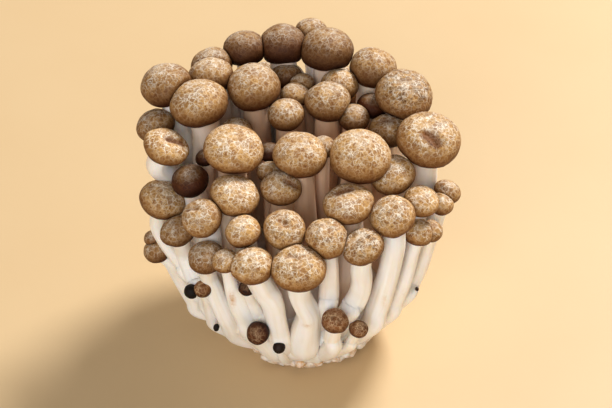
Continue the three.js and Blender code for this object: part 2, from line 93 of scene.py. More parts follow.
# How a stem's seen points are placed in depth, in millimetres and shares
RIM_SHARE = 0.35
RIM_ROOM = 1
MISSED_BY = 0.5
BEHIND_MOST = 3
SEEN_SHARE = 0.3

# Each cap, bud, clump, stem and nodule draws its fixed random numbers by an index, counted from these
BUD_INDEX = 60
SPECK_INDEX = 90
REAR_INDEX = 100
RIPPLE_SEED = 300
ROUGH_SEED = 500
STEM_SEED = 700
FOOT_SEED = 901
NODULE_SEED = 1000
DRAW_STEP = 12.9898
DRAW_SALT = 78.233
DRAW_SPREAD = 43758.5453
TURN = 2 * math.pi

# A draw times this is a phase in radians
PHASE = 6

# Finish of the meshes: sides and rows of the shells, and the space between two skins
SKIN_GAP = 0.06
CAP_SIDES_LEAST = 22
CAP_SIDES_PER_MM = 5
CROWN_ROWS_LEAST = 12
CROWN_ROW_SHARE = 3.2
UNDER_ROWS_LEAST = 5
STEM_SIDES = 28
STEM_ROWS = 44
FOOT_SIDES = 240
FOOT_ROWS = 22
NODULE_SIDES = 12
NODULE_ROWS = 7

# A cap's lip and gills, from the rim in: out and down in radii, and how far each row is gills
LIP_ROWS = [(0.715, 0.535, 0.1), (0.685, 0.525, 0.5), (0.655, 0.49, 1)]
GILL_ROWS = [0.6, 0.5, 0.4, 0.3, 0.22]
GILL_EDGE = 0.655
GILL_RIM = 0.5
GILL_LEAST = 0.02
PLEAT = 0.09

# Unevenness of a cap, as heights in radii and widths in millimetres, or in radii for the lumps
OVAL = 0.05
LOBE = 0.012
DENT_WIDTH = 0.34
LUMP = 0.022
LUMP_WIDTH = 0.9
RIPPLE = 0.006
RIPPLE_WIDTH = 2.6
ROUGH = 0.012
ROUGH_WIDTH = 1.6
PRESS_REACH = 1.0
PRESS_SOFTNESS = 0.22
OVER_MOST = 40
NEAR_SIDE = 0.3

# Stems: share of the radius, count round the stem and length up it in millimetres of each lobe
STEM_LOBES = [(0.05, 2, 14), (0.025, 3, -9), (0.018, 7, 20), (0.03, 0, 5.5)]
SWELL_PACE = 1.3
SPARE_SHARE = 0.8
STEM_SINK = 0.1
STEM_FLOOR = 0.25
FIBRE_STRETCH = 0.07
FIBRE_SHIFT = 50
BASE_STAIN = 0.4
BASE_STAIN_HEIGHT = 8
# Painted shading inside the bundle: how many millimetres in it starts, and over how many it grows full
INNER_SHADING_FROM = 2
INNER_SHADING_OVER = 17

# Foot: out and up of the rounded edge of the cut, of the first rows, and of the dome hidden in the stems
FOOT_EDGE = [(1.0, 0.0), (0.25, 0.12)]
FOOT_LOW = 1.6
FOOT_LOW_ROWS = 7
FOOT_NEXT = 2.4
FOOT_DOME = (8, 1.5)
FOOT_DOME_TOP = 2
FOOT_FREE = 1.5
FOOT_LOBE = (0.02, 5, 4)
FOOT_LUMPS = [(0.03, 9), (0.012, 3.2)]
# Painted shading on the foot where it lies inside the bundle
FOOT_INNER_SHADING = 0.4
FOOT_STAIN = 0.6
FOOT_STAIN_HEIGHT = 4

# Nodules of stems that never grew, around the bottom of the foot
NODULES = 150
NODULE_LOW = 0.9
NODULE_SPAN = 4.2
NODULE_LOW_POWER = 1.6
NODULE_LEAST = 0.8
NODULE_MORE = 1.5
NODULE_WIDE = 1.3
NODULE_TALL = 0.8
NODULE_TALLER = 0.5
NODULE_SUNK_SHARE = 0.4
NODULE_SUNK = 0.5
NODULE_LUMP = 0.14
NODULE_LUMP_WIDTH = 1.3
NODULE_STAIN = 0.25
NODULE_STAIN_MORE = 0.75
NODULE_FLOOR = 0.02

# Brown stains on the front stems: where each is seen, its width and height in millimetres, strength
STAINS = [
    (232, 300, 1.0, 3.2, 0.8),
    (209, 275, 0.8, 4.5, 0.5),
    (307, 326, 1.6, 0.8, 0.5),
    (303, 282, 2.2, 1.0, 0.3),
    (385, 300, 0.8, 4.0, 0.5),
    (404, 296, 0.8, 3.0, 0.5),
]


class Cap:
    """One mushroom cap: where it is seen, its depth, its width, and what marks it has."""

    def __init__(self, node, u=0, v=0, y=None, across=10, **more):
        self.node = node
        self.u = u
        self.v = v
        self.y = y
        self.across = across
        self.size = across / 2
        self.out = more.get("out")
        self.dent = more.get("dent", 0)
        self.lean = more.get("lean")
        self.tall = more.get("tall", 1)
        self.via_seen = more.get("via", [])
        self.rear = more.get("rear", False)
        self.crown = more.get("crown", False)
        self.marks = more.get("marks", [])
        # How much darker the skin is: partly its own colour, partly painted shading
        self.dark_and_shaded = more.get("dark_and_shaded", 0)
        self.rough = more.get("rough", 0)


# The caps that the photograph shows, as in the part. A mark is a dimple or a crease: two ends in
# pixels, then its depth and its half width in millimetres. The darkness and rough go from 0 to 1; the
# darkness is partly the skin's own colour and partly painted shading on caps in shadow and on their
# lower sides. via is where the stem is seen, from the top down, with its width in millimetres.
CAPS = [
    Cap("cap_back_1", 212, 65, 32, 14.2, dark_and_shaded=0.6),
    Cap("cap_back_1", 211, 76, 26, 15.4, dark_and_shaded=0.3),
    Cap("cap_back_2", 245, 49, 38, 15, dark_and_shaded=0.85),
    Cap("cap_back_3", 283, 45, 40, 17.2, dark_and_shaded=0.9),
    Cap("cap_back_3", 311, 32, 47, 11.8, dark_and_shaded=0.5),
    Cap("cap_back_4", 327, 50, 37, 18.7, dark_and_shaded=0.7),
    Cap("cap_back_5", 373, 68.5, 32, 16.3, tall=1.05, dark_and_shaded=0.4),
    Cap("cap_back_6", 404, 95, 18, 19.2, tall=0.97, dent=0.5, lean=(10, 12), rough=0.8, dark_and_shaded=0.3,
        marks=[(399, 80, 408, 79, 0.4, 2.0), (396, 89, 420, 88, -0.2, 0.6)]),
    Cap("cap_left_1", 166, 85.5, 18, 17, tall=1.05, dark_and_shaded=0.45),
    Cap("cap_left_2", 198.5, 103.5, 10, 19.2, tall=0.95, dark_and_shaded=0.2, marks=[(182, 92, 200, 88, -0.2, 0.7)]),
    Cap("cap_left_3", 156, 126, 10, 13.2, dark_and_shaded=0.55),
    Cap("cap_left_4", 166, 147, -4, 15, tall=0.75, dent=0.6, lean=(20, 4),
        marks=[(168, 139, 182, 143, 1.0, 1.6), (158, 138, 176, 136, -0.3, 0.8)]),
    Cap("cap_left_5", 162.5, 200, -10, 15.2, tall=0.86, lean=(18, 6), dark_and_shaded=0.15,
        via=[(158, 224, 5.6), (164, 239, 5.2), (172, 252, 4.6), (182, 265, 4.4), (191, 278, 4.4)]),
    Cap("cap_left_6", 190, 181, -10, 12.2, dark_and_shaded=1.15),
    Cap("cap_left_7", 178, 231, -20, 12, tall=0.8, dark_and_shaded=0.55,
        via=[(184, 250, 6.2), (190, 264, 6.6), (197, 279, 7), (206, 297, 6.8)]),
    Cap("cap_left_8", 157.5, 250, -6, 9.8, dark_and_shaded=0.5,
        via=[(170, 263, 4.4), (176, 273, 4.6), (184, 286, 4.8), (192, 300, 4.6), (200, 312, 4.6)]),
    Cap("cap_left_8", 153, 238, -4, 6.2, dark_and_shaded=0.5),
    Cap("cap_left_9", 205, 158, 0, 6.5, dark_and_shaded=1.2),
    Cap("cap_left_10", 202, 218, -27, 13.3, tall=0.96, dent=0.6, lean=(-16, 20), dark_and_shaded=0.25,
        marks=[(186, 210, 197, 208, 0.6, 0.7), (186, 214, 198, 213, -0.25, 0.6)]),
    Cap("cap_middle_1", 253.5, 87.5, 20, 18.2, tall=1.05, dark_and_shaded=0.3),
    Cap("cap_middle_2", 286, 76, 34, 10.9, dark_and_shaded=0.8),
    Cap("cap_middle_3", 295, 95, 23, 10, dark_and_shaded=0.3),
    Cap("cap_middle_3", 302, 84, 29, 8.8, dark_and_shaded=0.5),
    Cap("cap_middle_4", 286, 115, 12, 12.6, dark_and_shaded=0.35, marks=[(280, 101, 293, 100, -0.2, 0.5)]),
    Cap("cap_middle_5", 236, 132, 8, 11.2, dark_and_shaded=0.55),
    Cap("cap_middle_6", 340, 85, 27, 13.1, dark_and_shaded=0.2),
    Cap("cap_middle_7", 328, 102, 17, 15.9, dark_and_shaded=0.3, rough=0.4),
    Cap("cap_middle_8", 354, 118, 14, 10.9, dark_and_shaded=0.6),
    Cap("cap_middle_8", 372, 106, 20, 10.4, dark_and_shaded=1.15),
    Cap("cap_middle_9", 388, 131, 10, 13.2, dark_and_shaded=0.45, marks=[(380, 121, 393, 120, 0.6, 2.0)]),
    Cap("cap_middle_10", 233.5, 149.5, -8, 19.6, tall=0.78, lean=(4, 6)),
    Cap("cap_middle_11", 300, 155, -9, 17.8, tall=0.9, dark_and_shaded=0.1),
    Cap("cap_middle_11", 323, 147, -4, 8.4, dark_and_shaded=0.4),
    Cap("cap_middle_12", 360, 157, -10, 19.8, tall=1.05),
    Cap("cap_middle_13", 269, 152, 0, 7.4, dark_and_shaded=1.2),
    Cap("cap_middle_14", 281, 188, -15, 13.6, tall=0.9, dark_and_shaded=0.2, marks=[(288, 181, 297, 186, 0.8, 1.8)]),
    Cap("cap_middle_14", 269, 172, -8, 8, dark_and_shaded=0.5),
    Cap("cap_middle_15", 234.5, 195.5, -20, 15.9, tall=0.83, lean=(14, 8)),
    Cap("cap_right_1", 429, 140, 0, 21, tall=0.92, dent=0.9, lean=(8, 8), rough=0.3, dark_and_shaded=0.1,
        marks=[(426, 135, 437, 143, 1.3, 1.9), (440, 132, 447, 141, -0.5, 1.3)]),
    Cap("cap_right_2", 393, 175, -9, 15, tall=0.86, lean=(-10, 8),
        marks=[(392, 166, 406, 172, -0.2, 0.7)]),
    Cap("cap_right_3", 421, 201.5, -18, 11.9, tall=0.9, marks=[(407, 194, 417, 192, 0.4, 1.0)]),
    Cap("cap_right_4", 447, 192, -4, 9.2, dark_and_shaded=0.3, marks=[(441, 189, 449, 191, 0.4, 0.9)]),
    Cap("cap_right_4", 441, 204, -9, 8.4, dark_and_shaded=0.1),
    Cap("cap_right_5", 392.5, 216.5, -28, 14.8, tall=0.92, lean=(-10, 10), rough=0.5,
        via=[(394, 243, 6.8), (391.5, 258, 7), (388, 274, 7), (383, 291, 7.2), (377, 308, 7.2),
             (370, 325, 7)]),
    Cap("cap_right_6", 418, 232, -23, 10.2, dark_and_shaded=0.1,
        via=[(412, 250, 5.8), (408.5, 265, 5.6), (403, 283, 5.4), (396, 301, 5), (389, 316, 4.8)]),
    Cap("cap_right_6", 431, 231, -21, 8, dark_and_shaded=0.3,
        via=[(427, 247, 4), (422, 265, 4), (414, 284, 4), (405, 300, 4)]),
    Cap("cap_right_7", 348.5, 204.5, -24, 16.6, tall=0.7, lean=(-6, 3), dark_and_shaded=0.1,
        marks=[(336, 192, 350, 188, 0.9, 2.0)]),
    Cap("cap_front_1", 243, 231.5, -31, 11.4),
    Cap("cap_front_2", 285, 230, -31, 13.6, dent=1, lean=(0, 21), rough=0.5,
        marks=[(284, 224, 286, 223, 0.6, 1.0)]),
    Cap("cap_front_3", 327, 238.5, -35, 13.9, dent=0.5, rough=0.6,
        via=[(329, 263, 5.6), (329, 280, 6.2), (328.5, 296, 6.6), (326, 310, 6)]),
    Cap("cap_front_4", 362.5, 247, -37, 13.5, tall=0.8, dent=0.3, lean=(-14, 8), rough=0.9, dark_and_shaded=0.15,
        via=[(361, 267, 6.6), (362, 279, 6.6), (360, 291, 6.8), (354, 303, 7.2), (346, 315, 7)]),
    Cap("cap_front_5", 206.5, 257.5, -33, 11.8, dark_and_shaded=0.5,
        via=[(209, 276, 5.6), (214.5, 290, 5.8), (221, 305, 6), (228, 320, 6.4), (237, 335, 6.8)]),
    Cap("cap_front_6", 225, 261, -38, 8.4, dark_and_shaded=0.2,
        via=[(229, 277, 4), (233, 289, 5.2), (238, 302, 6.2), (245, 316, 6.8), (253, 332, 7.4)]),
    Cap("cap_front_6", 252, 266, -41, 13.9, tall=0.9, lean=(-10, 6), rough=0.3,
        via=[(264, 289, 8), (272, 301, 7.8), (275.5, 315, 7.4), (279, 330, 7), (283, 342, 6.6)]),
    Cap("cap_front_7", 298.5, 268.5, -43, 17.6, tall=0.83, dent=0.5, lean=(-4, 4), rough=0.4,
        via=[(299, 292, 7.4), (303, 302, 7.6), (308, 312, 8), (307, 322, 9), (305, 333, 10),
             (305, 346, 9.6)],
        marks=[(288, 255, 294, 256, 0.6, 1.2)]),
]

# Small dark buds low on the front, set on the outside of the bundle
BUDS = [
    Cap("bud_1", 203, 289, None, 5.8, out=0.4, tall=1.25, lean=(-12, 10), dark_and_shaded=0.3,
        via=[(208, 303, 3.8), (211.5, 314, 4), (217, 326, 4.2)]),
    Cap("bud_2", 191.5, 291.5, None, 4.9, out=0.8, tall=1.3, lean=(-72, 6), dark_and_shaded=1.7),
    Cap("bud_3", 258, 333, None, 7.7, out=1.4, lean=(-30, 52), dark_and_shaded=1.05),
    Cap("bud_4", 279, 347.5, None, 4.1, out=1.2, lean=(0, 50), dark_and_shaded=1.5),
    Cap("bud_5", 335, 321, None, 8.8, out=3.2, lean=(4, 8), dark_and_shaded=0.15,
        via=[(332, 337, 5.2), (332.5, 347, 5.8)]),
    Cap("bud_6", 358.5, 329, None, 6.2, out=1.6, lean=(10, 16), dark_and_shaded=0.4,
        via=[(352, 340, 3.6), (349, 346, 4)]),
    Cap("bud_7", 247, 288, None, 5.4, out=-3, lean=(0, 20), dark_and_shaded=1.2,
        via=[(252, 299, 4.4), (258, 311, 4.8), (266, 325, 5.2)]),
]

# The clumps at the back: count, height, and first angle and step in degrees of each row of clumps
CLUMP_ROWS = [(4, 69, 42, 32), (3, 52, 54, 36)]
CLUMP_REACH = 47.5

# A clump's caps: around, up, out and across in millimetres, and whether it sits on top of the others
CLUMP_CAPS = [(-5, -1.5, 0.4, 13, False), (4.8, -2, 0.6, 12.4, False), (0.3, 4.2, -0.4, 14, True)]
CLUMP_STRAY = 1.2
CLUMP_STRAY_UP = 2
# The clumps' caps are darker by these: partly their own colour, partly painted shading
CLUMP_DARK_AND_SHADED = 0.1
CLUMP_DARK_AND_SHADED_MORE = 0.4


def draw(index, salt):
    """A fixed random number from 0 to 1."""
    wave = math.sin((index + 1) * DRAW_STEP + salt * DRAW_SALT) * DRAW_SPREAD
    return wave - math.floor(wave)


def bundle_radius(z):
    return FOOT_RADIUS + (BUNDLE_RADIUS - FOOT_RADIUS) * (1 - np.exp(-np.maximum(z, 0) / BUNDLE_RISE))


def sight(u, v):
    """The eye, and the direction of the line of sight through a pixel."""
    forward = np.array([0, math.cos(VIEW_ELEVATION), -math.sin(VIEW_ELEVATION)])
    up = np.array([0, math.sin(VIEW_ELEVATION), math.cos(VIEW_ELEVATION)])
    eye = VIEW_TARGET - VIEW_DISTANCE * forward
    along = forward + up * (VIEW_V - v) / VIEW_FOCAL
    along[0] += (u - VIEW_U) / VIEW_FOCAL
    return eye, along


def at_depth(u, v, y):
    eye, along = sight(u, v)
    return eye + along * (y - eye[1]) / along[1]


def flare(z):
    """How much longer a level step into the bundle is than one square to its outside."""
    slope = (BUNDLE_RADIUS - FOOT_RADIUS) / BUNDLE_RISE * np.exp(-np.maximum(z, 0) / BUNDLE_RISE)
    return np.hypot(1, slope)


def on_bundle(u, v, out):
    """Where the line of sight first meets the bundle's outside, moved out, or passes closest to it."""
    eye, along = sight(u, v)
    distance = np.arange(VIEW_DISTANCE * SIGHT_NEAR, VIEW_DISTANCE * SIGHT_FAR, SIGHT_STEP)
    points = eye + distance[:, None] * along
    height = points[:, 2]
    outside = np.hypot(points[:, 0], points[:, 1]) - bundle_radius(height) - out * flare(height)
    met = np.nonzero(outside <= 0)[0]
    return points[met[0]] if len(met) else points[np.argmin(outside)]


def stem_radius(cap):
    return min(STEM_LEAST + STEM_SHARE * cap.size, STEM_MOST * cap.size)


def axis_of(at, lean):
    reach = math.hypot(at[0], at[1])
    degrees = EDGE_LEAN * (reach / BUNDLE_RADIUS) ** LEAN_POWER
    right, front = lean or (degrees * at[0] / reach, -degrees * at[1] / reach)
    axis = np.array([math.tan(math.radians(right)), -math.tan(math.radians(front)), 1.0])
    return axis / np.linalg.norm(axis)


def seen_point(cap, u, v, wide):
    """Where a stem's middle is: in the bundle's outside, not before its cap's rim or far behind it."""
    out = (cap.out or 0) - wide / 2
    point = on_bundle(u, v, out)
    rim = cap.at[1] - RIM_SHARE * cap.size
    if point[1] < rim - RIM_ROOM and cap.out is None:
        return at_depth(u, v, rim)
    away = math.hypot(point[0], point[1]) - bundle_radius(point[2]) - out * flare(point[2])
    upright = cap.at[1] * (0.5 + 0.5 * point[2] / cap.at[2])
    if upright < point[1] - (0 if away > MISSED_BY else BEHIND_MOST):
        return at_depth(u, v, SEEN_SHARE * point[1] + (1 - SEEN_SHARE) * upright)
    return point


def place(cap, index, at):
    """Sets a cap at a point, or, without one, where its line of sight meets the bundle."""
    cap.index = index
    cap.at = on_bundle(cap.u, cap.v, cap.out) if at is None else at
    cap.axis = axis_of(cap.at, cap.lean)
    cap.oval = OVAL * (draw(index, 1) - 0.5)
    cap.turn = math.pi * draw(index, 2)
    seen = [(seen_point(cap, u, v, wide), wide / 2) for u, v, wide in cap.via_seen]
    cap.via = sorted(seen, key=lambda found: found[0][2])
    lean = Vector((0, 0, 1)).rotation_difference(Vector(cap.axis))
    cap.lean_matrix = np.array(lean.to_matrix())
    return cap


def rear_caps():
    found = []
    clump = 0
    for count, height, first, step in CLUMP_ROWS:
        for k in range(count):
            clump += 1
            for around, up, out, across, crown in CLUMP_CAPS:
                index = REAR_INDEX + len(found)
                flip = 1 if clump % 2 else -1
                angle = math.radians(first + step * k) - flip * around / CLUMP_REACH
                reach = CLUMP_REACH + out + CLUMP_STRAY * (draw(index, 3) - 0.5)
                z = height + up + CLUMP_STRAY_UP * (draw(index, 4) - 0.5)
                at = np.array([reach * math.cos(angle), reach * math.sin(angle), z])
                width = across + CLUMP_STRAY * (draw(index, 5) - 0.5)
                dark_and_shaded = CLUMP_DARK_AND_SHADED + CLUMP_DARK_AND_SHADED_MORE * draw(index, 6)
                cap = Cap(f"rear_{clump}", across=width, rear=True, crown=crown, dark_and_shaded=dark_and_shaded)
                found.append(place(cap, index, at))
    return found


caps = [place(cap, k, at_depth(cap.u, cap.v, cap.y)) for k, cap in enumerate(CAPS)]
caps += [place(bud, BUD_INDEX + k, None) for k, bud in enumerate(BUDS)]
caps += rear_caps()


# Stems: their routes are worked out as in the part, so that each one lies where its solid is


def has_stem(cap):
    """Whether the cap has a stem in the part. Here the rest get slender stems of their own."""
    if cap.rear:
        return not cap.crown
    wider = any(other.node == cap.node and other.across > cap.across for other in caps)
    return bool(cap.via) or not wider


def seen_at(seen, z, fallback):
    """Where a seen stem is at a height: straight between the points seen, and below them as it was."""
    above = next((k for k, point in enumerate(seen) if point[2] >= z), -1)
    if above > 0:
        low = seen[above - 1]
        high = seen[above]
        middle = low + (high - low) * (z - low[2]) / (high[2] - low[2])
        return middle[0], middle[1]
    aside = math.atan2(seen[0][1], seen[0][0])
    out = math.hypot(fallback[0], fallback[1])
    return out * math.cos(aside), out * math.sin(aside)


class Stem:
    """A stem's middle line: points at the levels, which may shift aside, then the neck and the top."""

    def __init__(self, cap, slender=1.0):
        self.cap = cap
        self.slender = slender
        self.radius = stem_radius(cap)
        self.top = cap.at - cap.axis * (GILL_DEPTH * cap.size + STEM_SEAT)
        self.neck = self.top - cap.axis * NECK_LENGTH * self.radius
        self.held = bool(cap.via)
        reach = math.hypot(self.neck[0], self.neck[1])
        share = min(reach / self.inside(self.neck[2]), 1)
        beyond = max(reach - self.inside(self.neck[2]), 0)
        seen = [point for point, radius in cap.via] + [self.neck]
        root = ROOT_OUTER
        if share < MIDDLE_SHARE:
            root = ROOT_MIDDLE
        if share < INNER_SHARE:
            root = ROOT_INNER
        if cap.rear:
            root = ROOT_REAR
        levels = [z for z in LEVELS if root + ROOT_CLEAR < z < self.neck[2] - NECK_CLEAR]
        self.points = []
        for z in [root] + levels:
            out = self.inside(z) * share + beyond * (z / self.neck[2]) ** STRAY_POWER
            x = self.neck[0] / reach * out
            y = self.neck[1] / reach * out
            if self.held:
                x, y = seen_at(seen, z, (x, y))
            self.points.append([x, y, z])
        self.limits = [math.hypot(x, y) for x, y, z in self.points]

    def inside(self, z):
        return float(bundle_radius(z) - self.radius * STEM_SWELL * flare(z))

    def shift(self, k, dx, dy):
        """Moves a point sideways, but not further out than the bundle is there."""
        point = self.points[k]
        point[0] += SPREAD_SHARE * dx
        point[1] += SPREAD_SHARE * dy
        limit = max(self.limits[k], float(bundle_radius(point[2])) - self.radius)
        out = math.hypot(point[0], point[1])
        if out > limit:
            point[0] *= limit / out
            point[1] *= limit / out

    def clear_of(self, k, cap):
        point = self.points[k]
        height = abs(point[2] - cap.at[2]) / (cap.size + CAP_CLEAR)
        if height >= 1 or self.held:
            return
        dx = point[0] - cap.at[0]
        dy = point[1] - cap.at[1]
        distance = math.hypot(dx, dy)
        need = cap.size * math.sqrt(1 - height * height) + self.radius
        if distance < need:
            self.shift(k, dx / distance * (need - distance), dy / distance * (need - distance))

    def route(self, t):
        """Points of the middle line, its directions and its radii at shares t of its length."""
        knots = np.array(self.points + [self.neck, self.top])
        radii = self.radius * swell_at(np.arange(len(knots)) / (len(knots) - 1))
        if self.cap.via:
            knots = np.array([self.points[0]] + [point for point, radius in self.cap.via] + [self.top])
            radii = np.array([radius for point, radius in self.cap.via])
            radii = np.concatenate([radii[:1], radii, radii[-1:]])
        ends = np.vstack([2 * knots[0] - knots[1], knots, 2 * knots[-1] - knots[-2]])
        place = np.clip(t, 0, 1) * (len(knots) - 1)
        k = np.minimum(place.astype(int), len(knots) - 2)
        w = (place - k)[:, None]
        a, b, c, d = ends[k], ends[k + 1], ends[k + 2], ends[k + 3]
        first = (c - a) / 2
        last = (d - b) / 2
        cubic = 2 * b - 2 * c + first + last
        square = 3 * (c - b) - 2 * first - last
        points = ((cubic * w + square) * w + first) * w + b
        slopes = (3 * cubic * w + 2 * square) * w + first
        slopes /= np.linalg.norm(slopes, axis=1)[:, None]
        return points, slopes, radii[k] + (radii[k + 1] - radii[k]) * (place - k)


def part_from(one, j, two, k):
    need = (one.radius + two.radius) * STEM_SWELL + GAP
    dx = one.points[j][0] - two.points[k][0]
    dy = one.points[j][1] - two.points[k][1]
    distance = math.hypot(dx, dy)
    if distance >= need or (one.held and two.held):
        return
    push = (need - distance) / distance * 0.5
    if not one.held:
        one.shift(j, dx * push, dy * push)
    if not two.held:
        two.shift(k, -dx * push, -dy * push)


def spread(stems):
    """Moves the stems aside, level by level, until they are clear of each other and of other caps."""
    for _ in range(SPREAD_PASSES):
        for level in [z for z in LEVELS if z > ROOT_MIDDLE]:
            here = []
            for stem in stems:
                here += [(stem, k) for k, point in enumerate(stem.points) if point[2] == level]
            for number, (one, j) in enumerate(here):
                for two, k in here[number + 1:]:
                    part_from(one, j, two, k)
                for cap in caps:
                    if cap is not one.cap:
                        one.clear_of(j, cap)


main_stems = [Stem(cap) for cap in caps if has_stem(cap)]
spread(main_stems)
for stem in main_stems:
    stem.held = True
spare_stems = [Stem(cap, SPARE_SHARE) for cap in caps if not has_stem(cap)]
spread(main_stems + spare_stems)
stems = main_stems + spare_stems


# Mesh making: everything is a closed shell of rows round a middle line


WAVE_COUNT = 7
WAVE_LEVEL = 1.4
WAVE_SLOW = 0.7
WAVE_VARIES = 0.6


def waves(points, size, seed):
    """A smooth, uneven field, mostly from -1 to 1, with bumps about size wide."""
    total = np.zeros(len(points))
    for k in range(WAVE_COUNT):
        lean = math.acos(2 * draw(seed, 20 + k) - 1)
        heading = TURN * draw(seed, 40 + k)
        flat = math.sin(lean)
        way = np.array([flat * math.cos(heading), flat * math.sin(heading), math.cos(lean)])
        pace = TURN / size * (WAVE_SLOW + WAVE_VARIES * draw(seed, 60 + k))
        total += np.sin(points @ way * pace + TURN * draw(seed, 80 + k))
    return total / math.sqrt(WAVE_COUNT) / WAVE_LEVEL


def shell_faces(rows, sides, first=0):
    """Faces of rows of points round a middle line, closed by a point before and a point after them."""
    start = first
    ring = first + 1
    end = ring + rows * sides
    faces = []
    for k in range(sides):
        after = (k + 1) % sides
        faces.append((start, ring + k, ring + after))
        for row in range(rows - 1):
            a = ring + row * sides
            b = a + sides
            faces.append((a + k, b + k, b + after, a + after))
        last = ring + (rows - 1) * sides
        faces.append((last + k, end, last + after))
    return faces


def build_piece(name, parts, marks, material, nodes):
    """One piece from several shells. marks names the numbers that its material reads at each point."""
    points = np.vstack([part["points"] for part in parts])
    faces = []
    first = 0
    for part in parts:
        faces += shell_faces(part["rows"], part["sides"], first)
        first += len(part["points"])
    mesh = bpy.data.meshes.new(name)
    mesh.from_pydata(((points + CENTRE_SHIFT) * MM).tolist(), [], faces)
    mesh.polygons.foreach_set("use_smooth", [True] * len(mesh.polygons))
    for mark in marks:
        values = np.concatenate([part[mark] for part in parts]).astype(np.float32)
        kind = "FLOAT_VECTOR" if values.ndim > 1 else "FLOAT"
        layer = mesh.attributes.new(mark, kind, "POINT")
        layer.data.foreach_set("vector" if values.ndim > 1 else "value", values.reshape(-1))
    mesh.materials.append(material)
    mesh.update()
    piece = bpy.data.objects.new(name, mesh)
    bpy.context.scene.collection.objects.link(piece)
    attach(piece, "root")
    if nodes:
        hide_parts(*nodes)
    return piece


# Caps


def reach_towards(cap, way):
    """How far a cap reaches from its middle in a direction: an oval above the rim and one below it."""
    rise = float(way @ cap.axis)
    flat = math.sqrt(max(1 - rise * rise, 0))
    return cap.size * math.hypot(flat, rise * cap.tall * (CAP_RISE if rise > 0 else CAP_DROP))


def soft_least(value, limit, softness):
    """The lesser of value and limit, rounded over where they meet."""
    over = np.clip((value - limit) / softness, -OVER_MOST, OVER_MOST)
    return value - softness * np.log1p(np.exp(over))


def cap_section(tall, sides):
    """Rows of a cap from the crown to the gills: out and up in radii, how far they are gills."""
    crown_rows = max(int(sides / CROWN_ROW_SHARE), CROWN_ROWS_LEAST)
    rows = []
    for k in range(1, crown_rows + 1):
        turn = k / crown_rows * math.pi / 2
        rows.append((math.sin(turn), CAP_RISE * tall * math.cos(turn), 0))
    under_rows = max(crown_rows // 3, UNDER_ROWS_LEAST)
    for k in range(1, under_rows + 1):
        turn = k / under_rows * LIP_ANGLE
        rows.append((math.cos(turn), -CAP_DROP * tall * math.sin(turn), 0))
    rows += [(out, -down * tall, gilled) for out, down, gilled in LIP_ROWS]
    edge = max(GILL_RIM * tall, GILL_DEPTH + GILL_LEAST)
    for out in GILL_ROWS:
        rows.append((out, -GILL_DEPTH - (edge - GILL_DEPTH) * (out / GILL_EDGE) ** 2, 1))
    return np.array(rows)


def cap_shell(cap, others):
    """A cap's skin: an oval with gills, lumps and marks, pressed flat where it meets other caps."""
    sides = 2 * round(max(CAP_SIDES_LEAST, CAP_SIDES_PER_MM * cap.size))
    section = cap_section(cap.tall, sides)
    angle = np.arange(sides) / sides * 2 * math.pi
    pleat = np.where(np.arange(sides) % 2, 1.0, 0.0)
    rows = []
    gill = []
    for out, up, gilled in section:
        raised = PLEAT * pleat * (gilled >= 1)
        rows.append(np.stack([out * np.cos(angle), out * np.sin(angle), up + raised], axis=1))
        gill.append(np.full(sides, gilled))
    local = np.vstack([[[0, 0, CAP_RISE * cap.tall]], *rows, [[0, 0, -GILL_DEPTH]]]) * cap.size
    gill = np.concatenate([[0], *gill, [1]])
    around = np.arctan2(local[:, 1], local[:, 0])
    lobes = 1 + LOBE * np.sin(2 * around + PHASE * draw(cap.index, 7))
    lobes += LOBE * np.sin(3 * around + PHASE * draw(cap.index, 8))
    local[:, 0] *= lobes * (1 + cap.oval)
    local[:, 1] *= lobes * (1 - cap.oval)
    if cap.dent:
        out = np.hypot(local[:, 0], local[:, 1]) / cap.size
        local[:, 2] -= cap.dent * np.exp(-(out / DENT_WIDTH) ** 2) * (local[:, 2] > 0)
    rise = local[:, 2] / cap.size / cap.tall
    turned = local.copy()
    turned[:, 0] = local[:, 0] * math.cos(cap.turn) - local[:, 1] * math.sin(cap.turn)
    turned[:, 1] = local[:, 0] * math.sin(cap.turn) + local[:, 1] * math.cos(cap.turn)
    outward = turned / np.linalg.norm(turned, axis=1)[:, None]
    lumps = LUMP * waves(turned, LUMP_WIDTH * cap.size, cap.index)
    lumps += RIPPLE * waves(turned, RIPPLE_WIDTH, cap.index + RIPPLE_SEED)
    lumps += ROUGH * cap.rough * waves(turned, ROUGH_WIDTH, cap.index + ROUGH_SEED)
    turned += outward * (lumps * cap.size * (gill < 0.5))[:, None]
    points = turned @ cap.lean_matrix.T
    outward = outward @ cap.lean_matrix.T
    # Each mark presses in or raises the skin; a dimple also keeps its depth for painted shading in it
    dent_shading = np.zeros(len(points))
    for u1, v1, u2, v2, depth, width in cap.marks:
        one = surface_point(cap, points, u1, v1)
        two = surface_point(cap, points, u2, v2)
        along = two - one
        share = np.clip((points - one) @ along / max(along @ along, 1e-6), 0, 1)
        away = np.linalg.norm(points - one - share[:, None] * along, axis=1)
        fall = np.exp(-(away / width) ** 2)
        points -= outward * (depth * fall)[:, None]
        dent_shading += max(depth, 0) * fall
    for other in others:
        between = other.at - cap.at
        distance = float(np.linalg.norm(between))
        way = between / distance
        own = reach_towards(cap, way)
        theirs = reach_towards(other, -way)
        if distance > own + theirs + PRESS_REACH:
            continue
        limit = (own + distance - theirs) / 2 - SKIN_GAP / 2
        along = points @ way
        moved = soft_least(along, limit, PRESS_SOFTNESS)
        points += (moved - along)[:, None] * way
    return {
        "points": points + cap.at, "rows": len(section), "sides": sides, "rise": rise, "gill": gill,
        "tone": np.full(len(points), cap.dark_and_shaded), "worn": np.full(len(points), cap.rough), "dent_shading": dent_shading,
    }


